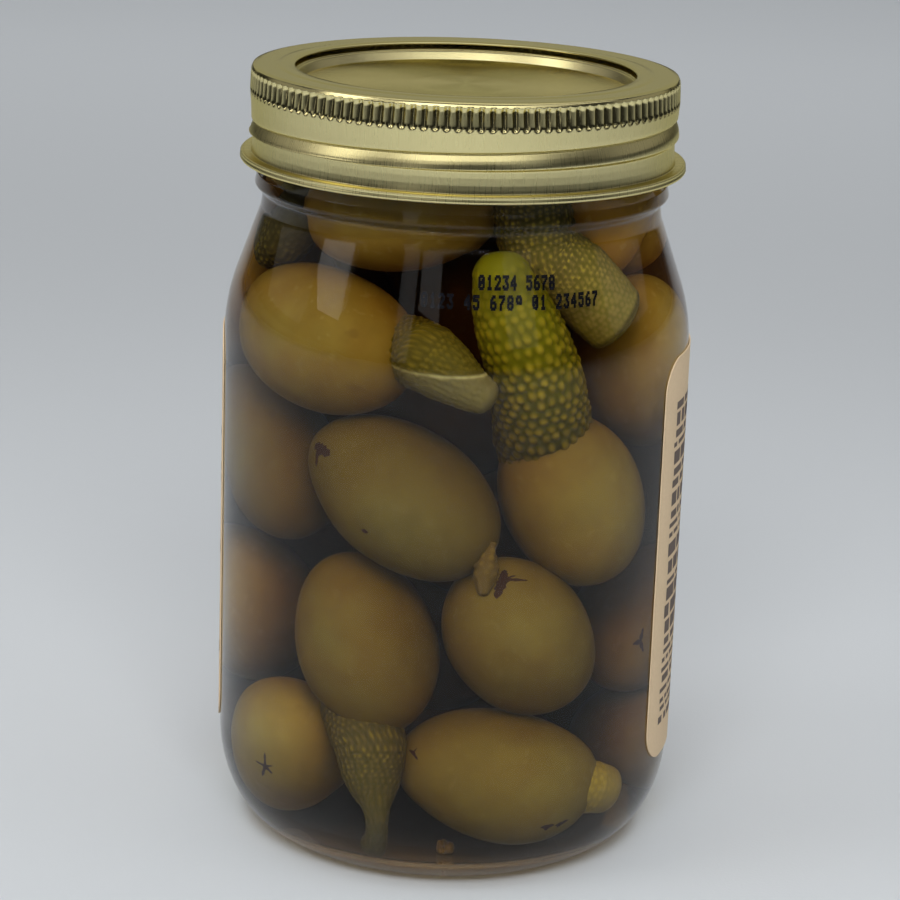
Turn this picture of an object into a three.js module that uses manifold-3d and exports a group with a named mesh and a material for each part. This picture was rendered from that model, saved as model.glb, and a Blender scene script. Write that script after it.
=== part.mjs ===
// A clear glass canning jar packed with green olives stuffed with gherkins, shut by a gold lid disc
// and screw band, with a paper label round its back. Millimetres, +Z up, the origin under the middle
// of the base. "Around" is an angle in degrees about the jar's axis: 0 is the front (-Y), 90 is +X.

import * as THREE from 'three';
import { mergeVertices } from 'three/addons/utils/BufferGeometryUtils.js';
import Module from 'manifold-3d';

const wasm = await Module();
wasm.setup();

// Glass jar
const SIDES = 48;
const CURVE_STEPS = 4;
const BODY_RADIUS = 39.5;
const WALL = 2.6;
const FOOT_RADIUS = 29;
const FOOT_WIDTH = 2;
const PUSH_UP = { radius: 24, height: 2.5 };
const HEEL_HEIGHT = 17;
const SHOULDER = { start: 86, bend: 92.5, coneStart: 97, coneRadius: 37.9, coneEnd: 109, innerDrop: 0.5 };
const NECK_RADIUS = 33.6;
const NECK_BEAD = { radius: 34.8, low: 112.6, high: 114.6, slope: 1.4 };
const FINISH_RADIUS = 33.4;
const MOUTH_RADIUS = 30.6;
const MOUTH_FLARE = 0.6;
const RIM_HEIGHT = 130.7;
const RIM_BEVEL = 0.8;
const FLOOR = { middle: 7, edge: 5, edgeRadius: 26.5, heelHeight: 14 };

// Lid disc: a flat edge on the rim, a step down, and a panel with a low raised middle. Its underside is a
// plain plug in the mouth.
const LID = { radius: 33.1, under: 130.9, thick: 0.4, stepTop: 26.8, stepFoot: 26, plug: 29.9, drop: 2 };
const LID_MIDDLE = { radius: 9, height: 0.3, slope: 1 };

// Screw band
const BAND = { top: 132.5, opening: 28.3, radius: 35.5, inside: 34.5, corner: 1.2, wall: 0.7 };
const BAND_SKIRT = { radius: 35.2, low: 118.9 };
const BAND_CURVE_STEPS = 2;
const BAND_BEAD = { radius: 37.3, inner: 36.1, centre: 117.5, half: 0.6 };
const BAND_CREASE = { height: 124.8, half: 0.7, radius: 34.95 };
const BAND_CREST = { height: 123.5, half: 0.4, radius: 35.7, foot: 122.2 };
const BAND_THREAD = { pitch: 5.08, fade: 0.15, height: 124, reach: 2.2 };
const KNURL = { count: 125, low: 128.4, high: 131.6, crest: 35.8, valley: 35.35, inner: 34.9 };

// Paper label
const LABEL = { from: 61.5, to: 279, low: 16.5, high: 88, corner: 6, gap: 0.15, thick: 0.25 };

// Olives and the gherkins that they are stuffed with
const OLIVE = { halfLength: 15.9, radius: 11, around: 10, along: 8 };
const GHERKIN = { around: 8, cap: 3, along: 4 };
const GLASS_GAP = 0.35;
const CORE = { radius: 17, low: 9, high: 122, top: 12 };

// Each olive: its place round the jar and height, the tilt of its length from upright (to the right),
// how far its upper end leans out to the glass, and its size
const OLIVES = [
  // against the front, from the top down
  { around: -26, height: 112, tilt: 71, lean: 0, size: 1 },
  { around: -48, height: 90, tilt: 95, lean: -6, size: 1 },
  { around: -16, height: 66, tilt: 126, lean: 5, size: 1 },
  { around: 45, height: 65, tilt: -22, lean: -8, size: 1 },
  { around: -28, height: 40, tilt: -13, lean: 2, size: 1 },
  { around: 26, height: 42, tilt: -31, lean: 14, size: 1 },
  { around: 21, height: 18, tilt: 105, lean: 11, size: 1 },
  { around: -63, height: 18, tilt: 50, lean: 24, size: 0.93 },
  // at the sides
  { around: 66, height: 112, tilt: 15, lean: 0, size: 0.92 },
  { around: 83, height: 84, tilt: -30, lean: 0, size: 0.97 },
  { around: 98, height: 38, tilt: 60, lean: 5, size: 0.95 },
  { around: 101, height: 17, tilt: 100, lean: 0, size: 0.93 },
  { around: -76, height: 68, tilt: -38, lean: 3, size: 0.97 },
  { around: -97, height: 38, tilt: 20, lean: 0, size: 0.95 },
  // at the back, above the label and below it
  { around: 121, height: 110, tilt: 5, lean: 0, size: 0.92 },
  { around: 186, height: 114, tilt: 70, lean: 0, size: 0.92 },
  { around: 247, height: 115, tilt: 15, lean: 0, size: 0.9 },
  { around: 138, height: 87, tilt: 70, lean: 0, size: 0.95 },
  { around: 198, height: 89, tilt: 85, lean: 0, size: 0.97 },
  { around: 256, height: 92, tilt: 30, lean: 0, size: 0.92 },
  { around: 165, height: 17, tilt: 95, lean: 0, size: 0.95 },
  { around: 232, height: 17, tilt: 80, lean: 0, size: 0.95 },
];

// Each gherkin lies along the glass from a root [around, height, radius] to a tip
const GHERKINS = [
  { root: [-20, 92.6, 4.9], tip: [7, 86, 3.6] },
  { root: [31, 72, 6.8], tip: [14, 103.2, 4.6] },
  { root: [22, 115, 5.6], tip: [51.5, 95.2, 5.8] },
  { root: [-26, 33, 5.6], tip: [-19.6, 17, 3.6] },
  { root: [-19.2, 15, 1.9], tip: [-18, 9, 1.8] },
  { root: [8.4, 58, 2.1], tip: [10.2, 53.6, 1.8] },
  { root: [45, 13.5, 4.2], tip: [57, 11, 3.4] },
  { root: [-79, 102.5, 5], tip: [-62, 109, 4.6] },
];

const lerp = THREE.MathUtils.lerp;
const radians = THREE.MathUtils.degToRad;

// A point at an angle around the axis, a distance out from it and a height
function polar(around, radius, height) {
  const angle = radians(around);
  return new THREE.Vector3(radius * Math.sin(angle), -radius * Math.cos(angle), height);
}

// Solids: a closed geometry to a solid for joining, and back
function toSolid(geometry) {
  geometry.deleteAttribute('normal');
  geometry.deleteAttribute('uv');
  const merged = mergeVertices(geometry, 1e-4);
  const triangles = [];
  for (let i = 0; i < merged.index.count; i += 3) {
    const [a, b, c] = [0, 1, 2].map((corner) => merged.index.getX(i + corner));
    if (a !== b && b !== c && c !== a) triangles.push(a, b, c);
  }
  const vertProperties = new Float32Array(merged.attributes.position.array);
  const triVerts = new Uint32Array(triangles);
  return new wasm.Manifold(new wasm.Mesh({ numProp: 3, vertProperties, triVerts }));
}

function toGeometry(solid) {
  const mesh = solid.getMesh();
  const geometry = new THREE.BufferGeometry();
  geometry.setAttribute('position', new THREE.BufferAttribute(mesh.vertProperties, 3));
  geometry.setIndex(new THREE.BufferAttribute(mesh.triVerts, 1));
  geometry.computeVertexNormals();
  return geometry;
}

// A path of radius and height, turned about the jar's axis
function turned(path, steps = CURVE_STEPS) {
  const geometry = new THREE.LatheGeometry(path.getPoints(steps), SIDES);
  return geometry.rotateX(Math.PI / 2);
}

// The inside of the glass from the edge of the floor up to the mouth
function innerWallPath() {
  const path = new THREE.Path();
  const heelWidth = BODY_RADIUS - WALL - FLOOR.edgeRadius;
  const heelTop = FLOOR.edge + FLOOR.heelHeight;
  path.moveTo(FLOOR.edgeRadius, FLOOR.edge);
  path.absellipse(FLOOR.edgeRadius, heelTop, heelWidth, FLOOR.heelHeight, -Math.PI / 2, 0, false);
  path.lineTo(BODY_RADIUS - WALL, SHOULDER.start);
  const coneStart = SHOULDER.coneStart - SHOULDER.innerDrop;
  path.quadraticCurveTo(BODY_RADIUS - WALL, SHOULDER.bend, SHOULDER.coneRadius - WALL, coneStart);
  path.lineTo(MOUTH_RADIUS + MOUTH_FLARE, SHOULDER.coneEnd - SHOULDER.innerDrop);
  path.lineTo(MOUTH_RADIUS, NECK_BEAD.low);
  path.lineTo(MOUTH_RADIUS, RIM_HEIGHT);
  return path;
}

const INNER_WALL = innerWallPath().getPoints(CURVE_STEPS);

// How far the inside of the glass is from the axis at a height
function wallRadius(height) {
  const above = INNER_WALL.findIndex((point) => point.y > height);
  if (above < 1) return INNER_WALL[above === 0 ? 0 : INNER_WALL.length - 1].x;
  const [low, high] = [INNER_WALL[above - 1], INNER_WALL[above]];
  return lerp(low.x, high.x, (height - low.y) / (high.y - low.y));
}

function jarGeometry() {
  const path = new THREE.Path();
  path.moveTo(0, PUSH_UP.height);
  path.lineTo(PUSH_UP.radius, PUSH_UP.height);
  path.lineTo(FOOT_RADIUS - FOOT_WIDTH, 0);
  path.lineTo(FOOT_RADIUS, 0);
  path.absellipse(FOOT_RADIUS, HEEL_HEIGHT, BODY_RADIUS - FOOT_RADIUS, HEEL_HEIGHT, -Math.PI / 2, 0, false);
  path.lineTo(BODY_RADIUS, SHOULDER.start);
  path.quadraticCurveTo(BODY_RADIUS, SHOULDER.bend, SHOULDER.coneRadius, SHOULDER.coneStart);
  path.lineTo(NECK_RADIUS, SHOULDER.coneEnd);
  path.lineTo(NECK_RADIUS, NECK_BEAD.low - NECK_BEAD.slope);
  path.lineTo(NECK_BEAD.radius, NECK_BEAD.low);
  path.lineTo(NECK_BEAD.radius, NECK_BEAD.high);
  path.lineTo(FINISH_RADIUS, NECK_BEAD.high + NECK_BEAD.slope);
  path.lineTo(FINISH_RADIUS, RIM_HEIGHT - RIM_BEVEL);
  path.lineTo(FINISH_RADIUS - RIM_BEVEL, RIM_HEIGHT);
  INNER_WALL.toReversed().forEach((point) => path.lineTo(point.x, point.y));
  path.lineTo(0, FLOOR.middle);
  return turned(path);
}

function lidGeometry() {
  const top = LID.under + LID.thick;
  const path = new THREE.Path();
  path.moveTo(0, LID.under - LID.drop);
  path.lineTo(LID.plug, LID.under - LID.drop);
  path.lineTo(LID.plug, LID.under);
  path.lineTo(LID.radius, LID.under);
  path.lineTo(LID.radius, top);
  path.lineTo(LID.stepTop, top);
  path.lineTo(LID.stepFoot, top - LID.drop);
  path.lineTo(LID_MIDDLE.radius, top - LID.drop);
  path.lineTo(LID_MIDDLE.radius - LID_MIDDLE.slope, top - LID.drop + LID_MIDDLE.height);
  path.lineTo(0, top - LID.drop + LID_MIDDLE.height);
  return turned(path);
}

// The band's section, from the edge of its opening over the top and down the outside, and back inside
function bandPath() {
  const cornerHeight = BAND.top - BAND.corner;
  const beadMiddle = BAND_BEAD.radius - BAND_BEAD.half;
  const path = new THREE.Path();
  path.moveTo(BAND.opening, BAND.top - BAND.wall);
  path.lineTo(BAND.inside - BAND.wall, BAND.top - BAND.wall);
  path.lineTo(BAND.inside, BAND.top - 2 * BAND.wall);
  path.lineTo(BAND.inside, BAND_SKIRT.low);
  path.lineTo(BAND_BEAD.inner, BAND_BEAD.centre - BAND_BEAD.half);
  path.lineTo(beadMiddle, BAND_BEAD.centre - BAND_BEAD.half);
  path.absarc(beadMiddle, BAND_BEAD.centre, BAND_BEAD.half, -Math.PI / 2, Math.PI / 2, false);
  path.lineTo(BAND_SKIRT.radius, BAND_SKIRT.low);
  path.lineTo(BAND_SKIRT.radius, BAND_CREST.foot);
  path.lineTo(BAND_CREST.radius, BAND_CREST.height - BAND_CREST.half);
  path.lineTo(BAND_CREST.radius, BAND_CREST.height + BAND_CREST.half);
  path.lineTo(BAND_CREASE.radius, BAND_CREASE.height);
  path.lineTo(BAND.radius, BAND_CREASE.height + BAND_CREASE.half);
  path.lineTo(BAND.radius, KNURL.low);
  path.lineTo(BAND.radius, cornerHeight);
  path.absarc(BAND.radius - BAND.corner, cornerHeight, BAND.corner, 0, Math.PI / 2, false);
  path.lineTo(BAND.opening, BAND.top);
  path.closePath();
  return path;
}

// How far the thread has climbed at an angle around: steadily over the front, and back down behind
function threadRise(around) {
  const turn = around / 360;
  const fade = THREE.MathUtils.smoothstep(0.5 - Math.abs(turn), 0, BAND_THREAD.fade);
  return BAND_THREAD.pitch * turn * fade;
}

function bandGeometry() {
  const skin = turned(bandPath(), BAND_CURVE_STEPS);
  const position = skin.attributes.position;
  for (let i = 0; i < position.count; i++) {
    const [x, y, z] = [position.getX(i), position.getY(i), position.getZ(i)];
    const onThread = Math.abs(z - BAND_THREAD.height) < BAND_THREAD.reach;
    const outside = Math.hypot(x, y) > BAND.radius - BAND.wall;
    const around = THREE.MathUtils.radToDeg(Math.atan2(x, -y));
    if (onThread && outside) position.setZ(i, z + threadRise(around));
  }
  return toGeometry(toSolid(skin).add(toSolid(knurlGeometry())));
}

// The ring of upright grip ridges under the band's top edge
function knurlGeometry() {
  const outline = [];
  for (let i = 0; i < 2 * KNURL.count; i++) {
    const angle = (Math.PI * i) / KNURL.count;
    const radius = i % 2 === 0 ? KNURL.crest : KNURL.valley;
    outline.push(new THREE.Vector2(radius * Math.cos(angle), radius * Math.sin(angle)));
  }
  const ring = new THREE.Shape(outline);
  const hole = new THREE.Path();
  hole.absarc(0, 0, KNURL.inner, 0, 2 * Math.PI, true);
  ring.holes.push(new THREE.Path(hole.getPoints(SIDES / 2).slice(0, -1)));
  const geometry = new THREE.ExtrudeGeometry(ring, { depth: KNURL.high - KNURL.low, bevelEnabled: false });
  return geometry.translate(0, 0, KNURL.low);
}

// A thin sheet bent round the glass, its corners rounded
function labelGeometry() {
  const radius = BODY_RADIUS + LABEL.gap;
  const cornerAngle = THREE.MathUtils.radToDeg(LABEL.corner / radius);
  const corner = [0, 0.15, 0.4, 1].map((step) => step * cornerAngle);
  const facet = 360 / SIDES;
  const columns = corner.map((step) => LABEL.from + step);
  const first = Math.ceil((LABEL.from + cornerAngle + 1) / facet) * facet;
  for (let around = first; around < LABEL.to - cornerAngle - 1; around += facet) columns.push(around);
  columns.push(...corner.map((step) => LABEL.to - step).reverse());
  const vertices = [];
  columns.forEach((around) => {
    const fromEnd = Math.min(around - LABEL.from, LABEL.to - around) / cornerAngle;
    const across = 1 - Math.min(1, fromEnd);
    const inset = LABEL.corner * (1 - Math.sqrt(1 - across * across));
    for (const [out, height] of [[0, LABEL.low + inset], [LABEL.thick, LABEL.low + inset],
      [LABEL.thick, LABEL.high - inset], [0, LABEL.high - inset]]) {
      vertices.push(...polar(around, radius + out, height).toArray());
    }
  });
  const index = [];
  for (let column = 0; column < columns.length - 1; column++) {
    for (let edge = 0; edge < 4; edge++) {
      const [a, b] = [4 * column + edge, 4 * column + (edge + 1) % 4];
      index.push(a, a + 4, b, b, a + 4, b + 4);
    }
  }
  const last = 4 * (columns.length - 1);
  index.push(0, 1, 2, 0, 2, 3, last, last + 2, last + 1, last, last + 3, last + 2);
  const geometry = new THREE.BufferGeometry();
  geometry.setAttribute('position', new THREE.Float32BufferAttribute(vertices, 3));
  geometry.setIndex(index);
  geometry.computeVertexNormals();
  return geometry;
}

// An olive turned to its lie and pushed outwards until it almost touches the glass
function oliveGeometry({ around, height, tilt, lean, size }) {
  const out = polar(around, 1, 0);
  const side = polar(around + 90, 1, 0);
  const [t, l] = [radians(tilt), radians(lean)];
  const axis = new THREE.Vector3(0, 0, Math.cos(l) * Math.cos(t));
  axis.addScaledVector(side, Math.cos(l) * Math.sin(t)).addScaledVector(out, Math.sin(l));
  const turn = new THREE.Quaternion().setFromUnitVectors(new THREE.Vector3(0, 1, 0), axis);
  const geometry = new THREE.SphereGeometry(size, OLIVE.around, OLIVE.along);
  geometry.scale(OLIVE.radius, OLIVE.halfLength, OLIVE.radius).applyQuaternion(turn).translate(0, 0, height);
  const position = geometry.attributes.position;
  for (let pass = 0; pass < 8; pass++) {
    let room = Infinity;
    for (let i = 0; i < position.count; i++) {
      const reach = Math.hypot(position.getX(i), position.getY(i));
      room = Math.min(room, wallRadius(position.getZ(i)) - GLASS_GAP - reach);
    }
    geometry.translate(out.x * room, out.y * room, 0);
  }
  return geometry;
}

// A tapered rod with round ends that follows the inside of the glass
function gherkinGeometry({ root, tip }) {
  const at = (t) => [0, 1, 2].map((i) => lerp(root[i], tip[i], t));
  const centre = (t) => {
    const [around, height, radius] = at(t);
    const reach = 0.7 * radius;
    const wall = Math.min(wallRadius(height - reach), wallRadius(height + reach));
    return polar(around, wall - radius - GLASS_GAP, height);
  };
  const geometry = new THREE.CapsuleGeometry(1, 1, GHERKIN.cap, GHERKIN.around, GHERKIN.along);
  const position = geometry.attributes.position;
  for (let i = 0; i < position.count; i++) {
    const along = position.getY(i) + 0.5;
    const t = THREE.MathUtils.clamp(along, 0, 1);
    const [around, , radius] = at(t);
    const axis = centre(Math.min(1, t + 0.05)).sub(centre(Math.max(0, t - 0.05))).normalize();
    const side = polar(around, 1, 0).cross(axis).normalize();
    const out = axis.clone().cross(side);
    const point = centre(t).addScaledVector(axis, (along - t) * radius);
    point.addScaledVector(side, position.getX(i) * radius).addScaledVector(out, position.getZ(i) * radius);
    position.setXYZ(i, point.x, point.y, point.z);
  }
  return geometry;
}

// The whole filling: a plain core with every olive and gherkin that shows fused on. The largest skin is
// the outer one, so the closed hollows left between the olives are solid.
function fillingGeometry() {
  const core = new THREE.Path();
  core.moveTo(0, CORE.low);
  core.lineTo(CORE.radius, CORE.low);
  core.lineTo(CORE.radius, SHOULDER.coneStart);
  core.lineTo(CORE.top, CORE.high);
  core.lineTo(0, CORE.high);
  let filling = toSolid(turned(core));
  OLIVES.forEach((olive) => { filling = filling.add(toSolid(oliveGeometry(olive))); });
  GHERKINS.forEach((gherkin) => { filling = filling.add(toSolid(gherkinGeometry(gherkin))); });
  const skins = filling.decompose().sort((one, other) => other.volume() - one.volume());
  return toGeometry(skins[0]);
}

const glass = new THREE.MeshStandardMaterial({ color: '#dfe6e4', roughness: 0.05 });
glass.transparent = true;
glass.opacity = 0.3;
const gold = new THREE.MeshStandardMaterial({ color: '#c8bb78', roughness: 0.3, metalness: 1 });
const goldLid = new THREE.MeshStandardMaterial({ color: '#cfc38a', roughness: 0.35, metalness: 1 });
const paper = new THREE.MeshStandardMaterial({ color: '#dfc9a4', roughness: 0.8 });
const olive = new THREE.MeshStandardMaterial({ color: '#7b652f', roughness: 0.4 });

function piece(name, geometry, material) {
  const mesh = new THREE.Mesh(geometry, material);
  mesh.name = name;
  return mesh;
}

const jarOfOlives = new THREE.Group();
jarOfOlives.add(
  piece('jar', jarGeometry(), glass),
  piece('lid_disc', lidGeometry(), goldLid),
  piece('band', bandGeometry(), gold),
  piece('label', labelGeometry(), paper),
  piece('olives', fillingGeometry(), olive),
);

export default jarOfOlives;
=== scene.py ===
import math
import bmesh
import bpy
import numpy as np
from mathutils import Matrix


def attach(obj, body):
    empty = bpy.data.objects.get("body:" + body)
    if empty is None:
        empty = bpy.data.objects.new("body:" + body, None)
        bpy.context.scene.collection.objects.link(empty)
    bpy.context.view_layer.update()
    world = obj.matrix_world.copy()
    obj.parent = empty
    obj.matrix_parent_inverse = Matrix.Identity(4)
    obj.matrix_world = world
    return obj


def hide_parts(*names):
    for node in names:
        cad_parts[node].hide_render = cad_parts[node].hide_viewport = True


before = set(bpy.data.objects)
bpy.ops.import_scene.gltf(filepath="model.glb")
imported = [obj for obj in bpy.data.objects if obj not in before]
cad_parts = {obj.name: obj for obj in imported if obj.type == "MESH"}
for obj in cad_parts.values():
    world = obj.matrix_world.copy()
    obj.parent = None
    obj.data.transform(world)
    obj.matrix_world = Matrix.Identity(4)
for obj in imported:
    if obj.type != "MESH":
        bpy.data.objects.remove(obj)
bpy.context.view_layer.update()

# The table and its light
# A wide sheet of pale blue-grey paper under the jar, in a dim room. Windows stand in front of it, soft panels
# beside, behind and above it, and three soft fill lights. The camera looks down on the jar, a little rolled.
MM = 0.001
WELD = 1e-7
FLOOR_RADIUS, FLOOR_DROP, FLOOR_SIDES = 6.0, 0.05, 64
FLOOR_COLOUR = (0.69, 0.73, 0.775)
# Painted shade and light for the light falling off: metres behind the jar where the paper starts to darken,
# is darkest and is light again, and by how much
DARK_FROM, DARKEST, LIGHT_AGAIN = 0.05, 0.40, 0.95
NEAR_TONE, PAINTED_SHADE_LOSS, PAINTED_LIGHT_GAIN = 0.965, 0.11, 0.20
ROOM_COLOUR = (0.90, 0.93, 0.97)
ROOM_STRENGTH = 0.02
CAMERA_PLACE = (0.0, -0.468452, 0.204673)
CAMERA_PITCH, CAMERA_ROLL, CAMERA_TURN = 16.472, 2.031, 0.054
CAMERA_LENS, SENSOR_WIDTH, CLIP_START = 113.15, 36.0, 0.01
AIM_HEIGHT = 0.07
# Each: around from the front, elevation, distance, width, height, watts, colour, mirrored by shiny things
LAMPS = {
    "window_left": (-72, 31.5, 2.0, 0.70, 1.05, 4.9, (1.0, 0.98, 0.95), True),
    "window_front": (-27, 22, 2.0, 0.28, 1.50, 0.95, (1.0, 0.98, 0.95), True),
    "window_middle": (-15, 35, 2.0, 0.36, 0.74, 0.75, (1.0, 0.98, 0.95), True),
    "window_right": (33, 28, 2.0, 0.52, 1.20, 0.85, (0.95, 0.98, 1.0), True),
    "window_high": (-4, 40, 2.0, 1.8, 0.42, 3.8, (1.0, 0.99, 0.97), True),
    "window_high_left": (-62, 41, 2.0, 2.0, 0.40, 1.7, (1.0, 0.99, 0.97), True),
    "window_high_right": (58, 41, 2.0, 2.4, 0.40, 2.2, (1.0, 0.99, 0.97), True),
    "panel_left": (-105, 18, 2.0, 1.6, 0.7, 0.9, (1.0, 0.98, 0.95), True),
    "panel_right": (110, 18, 2.0, 2.0, 0.7, 1.2, (1.0, 0.98, 0.95), True),
    "panel_behind": (180, 25, 2.2, 3.0, 1.6, 5.2, (0.97, 0.99, 1.0), True),
    "panel_above": (180, 76, 1.8, 2.0, 2.4, 12, (1.0, 0.99, 0.97), True),
    "panel_near": (0, 42, 0.88, 0.5, 0.35, 3.9, (1.0, 0.99, 0.97), False),
    "side_left": (-95, 50, 1.7, 1.4, 1.0, 2.8, (1.0, 0.98, 0.96), False),
    "side_right": (95, 50, 1.7, 1.4, 1.0, 3.2, (1.0, 0.98, 0.96), False),
}


class Signal:
    """A shader socket that Python's operators can work with."""

    def __init__(self, finish, socket):
        self.finish = finish
        self.socket = socket

    def maths(self, operation, first, second):
        """The result of one step of arithmetic on two values or signals."""
        node = self.finish.node("ShaderNodeMath", {"operation": operation}, {0: first, 1: second})
        return node["Value"]

    def __add__(self, other):
        return self.maths("ADD", self, other)

    def __sub__(self, other):
        return self.maths("SUBTRACT", self, other)

    def __rsub__(self, other):
        return self.maths("SUBTRACT", other, self)

    def __mul__(self, other):
        return self.maths("MULTIPLY", self, other)


class Node:
    """A shader node whose outputs are taken by name."""

    def __init__(self, finish, node):
        self.finish = finish
        self.node = node

    def __getitem__(self, output):
        return Signal(self.finish, self.node.outputs[output])


class Finish:
    """A material, its nodes added one by one and its maths written as expressions."""

    def __init__(self, name):
        self.material = bpy.data.materials.new(name)
        self.material.use_nodes = True
        self.tree = self.material.node_tree
        self.tree.nodes.clear()

    def node(self, kind, settings, sockets):
        """A new node with its settings, its sockets set to values or linked to signals."""
        node = self.tree.nodes.new(kind)
        for key, value in settings.items():
            setattr(node, key, value)
        for key, value in sockets.items():
            if isinstance(value, Signal):
                self.tree.links.new(value.socket, node.inputs[key])
            else:
                node.inputs[key].default_value = value
        return Node(self, node)

    def place(self):
        """Where a point of the surface is, in metres."""
        return self.node("ShaderNodeNewGeometry", {}, {})["Position"]

    def attribute(self, name):
        """A value that the piece's points carry."""
        return self.node("ShaderNodeAttribute", {"attribute_name": name}, {})["Fac"]

    def noise(self, size, detail=3.0, roughness=0.5, place=None):
        """Soft noise from 0 to 1 whose lumps are about that many millimetres apart."""
        sockets = {"Vector": place or self.place(), "Scale": 1 / (size * MM)}
        sockets.update({"Detail": detail, "Roughness": roughness})
        return self.node("ShaderNodeTexNoise", {}, sockets)["Fac"]

    def stretched(self, x, y, z):
        """The place with its axes scaled, for grain that runs one way."""
        sockets = {0: self.place(), 1: (x, y, z)}
        return self.node("ShaderNodeVectorMath", {"operation": "MULTIPLY"}, sockets)["Vector"]

    def span(self, value, low, high):
        """0 below low, 1 above high and smooth between."""
        sockets = {"Value": value, "From Min": low, "From Max": high}
        return self.node("ShaderNodeMapRange", {"interpolation_type": "SMOOTHSTEP"}, sockets)["Result"]

    def mix(self, factor, first, second):
        """A blend of two colours."""
        first, second = [c if isinstance(c, Signal) else (*c, 1.0) for c in (first, second)]
        sockets = {0: factor, 6: first, 7: second}
        return self.node("ShaderNodeMix", {"data_type": "RGBA"}, sockets)[2]

    def scaled(self, colour, amount):
        """A colour made darker or lighter."""
        sockets = {0: colour, "Scale": amount}
        return self.node("ShaderNodeVectorMath", {"operation": "SCALE"}, sockets)["Vector"]

    def bump(self, height, depth):
        """A normal from a height of 0 to 1 that stands for so many millimetres."""
        sockets = {"Height": height, "Distance": depth * MM, "Strength": 1.0}
        return self.node("ShaderNodeBump", {}, sockets)["Normal"]

    def principled(self, sockets):
        return self.node("ShaderNodeBsdfPrincipled", {}, sockets)["BSDF"]

    def output(self, surface, volume=None):
        links = {"Surface": surface} if volume is None else {"Surface": surface, "Volume": volume}
        self.node("ShaderNodeOutputMaterial", {}, links)
        return self.material

    def clear(self, surface, shade, volume=None):
        """A clear surface that refracts what is seen and lets the lamps' light straight through."""
        shadow = self.node("ShaderNodeLightPath", {}, {})["Is Shadow Ray"]
        through = self.node("ShaderNodeBsdfTransparent", {}, {"Color": (*shade, 1.0)})["BSDF"]
        mixed = self.node("ShaderNodeMixShader", {}, {0: shadow, 1: surface, 2: through})["Shader"]
        return self.output(mixed, volume)


def polar(around, radius, height):
    """A point at an angle in degrees round the axis: 0 is the front, 90 the right."""
    angle = np.radians(around)
    return np.stack(np.broadcast_arrays(radius * np.sin(angle), -radius * np.cos(angle), height), axis=-1)


def grid_faces(rows, columns, around=True, along=False):
    """Faces over rows of points, closed round each row and, if along, from the last row to the first."""
    steps_up = np.arange(rows if along else rows - 1)
    steps_right = np.arange(columns if around else columns - 1)
    i, j = np.meshgrid(steps_up, steps_right, indexing="ij")
    up, right = (i + 1) % rows, (j + 1) % columns
    corners = [i * columns + j, i * columns + right, up * columns + right, up * columns + j]
    return np.stack(corners, axis=-1).reshape(-1, 4)


def made(name, points, faces, material, values=None):
    """A smooth mesh piece from points in millimetres, with any named values at its points."""
    mesh = bpy.data.meshes.new(name)
    mesh.from_pydata((np.asarray(points).reshape(-1, 3) * MM).tolist(), [], np.asarray(faces).tolist())
    for key, numbers in (values or {}).items():
        attribute = mesh.attributes.new(key, "FLOAT", "POINT")
        attribute.data.foreach_set("value", np.asarray(numbers, dtype=np.float32).ravel())
    welded = bmesh.new()
    welded.from_mesh(mesh)
    bmesh.ops.remove_doubles(welded, verts=welded.verts, dist=WELD)
    welded.to_mesh(mesh)
    welded.free()
    mesh.polygons.foreach_set("use_smooth", [True] * len(mesh.polygons))
    mesh.materials.append(material)
    obj = bpy.data.objects.new(name, mesh)
    bpy.context.scene.collection.objects.link(obj)
    return obj


def turned(name, profile, sides, material):
    """A profile of (radius, height) in millimetres turned about the jar's axis."""
    profile = np.asarray(profile)
    around = np.arange(sides) * 360 / sides
    points = polar(around[None, :], profile[:, :1], profile[:, 1:])
    return made(name, points, grid_faces(len(profile), sides), material)


paper_table = Finish("table_paper")
fibre = paper_table.noise(0.6, detail=1)
# Painted shade and light: the paper darkens behind the jar and lightens again further back, for the light
# falling off.
behind = paper_table.node("ShaderNodeSeparateXYZ", {}, {0: paper_table.place()})["Y"]
darker = paper_table.span(behind, DARK_FROM, DARKEST) * PAINTED_SHADE_LOSS
lighter = paper_table.span(behind, DARKEST, LIGHT_AGAIN) * PAINTED_LIGHT_GAIN
floor_material = paper_table.output(paper_table.principled({
    "Base Color": paper_table.scaled(FLOOR_COLOUR, lighter - darker + NEAR_TONE),
    "Roughness": 0.75,
    "Specular IOR Level": 0.2,
    "Normal": paper_table.bump(fibre, 0.02),
}))
floor = turned("table", [(0, -FLOOR_DROP), (FLOOR_RADIUS / MM, -FLOOR_DROP)], FLOOR_SIDES, floor_material)

world = bpy.data.worlds.new("room")
world.use_nodes = True
world.node_tree.nodes["Background"].inputs["Color"].default_value = (*ROOM_COLOUR, 1.0)
world.node_tree.nodes["Background"].inputs["Strength"].default_value = ROOM_STRENGTH
bpy.context.scene.world = world
bpy.context.scene.view_settings.view_transform = "Standard"

for name, (around, elevation, distance, width, height, watts, colour, mirrored) in LAMPS.items():
    lamp = bpy.data.lights.new(name, "AREA")
    lamp.shape = "RECTANGLE"
    lamp.size, lamp.size_y = width, height
    lamp.energy, lamp.color = watts, colour
    stand = bpy.data.objects.new(name, lamp)
    level = distance * math.cos(math.radians(elevation))
    stand.location = polar(around, level, AIM_HEIGHT + distance * math.sin(math.radians(elevation)))
    stand.rotation_euler = (math.radians(90 - elevation), 0, math.radians(around))
    stand.visible_glossy = mirrored
    bpy.context.scene.collection.objects.link(stand)

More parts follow.
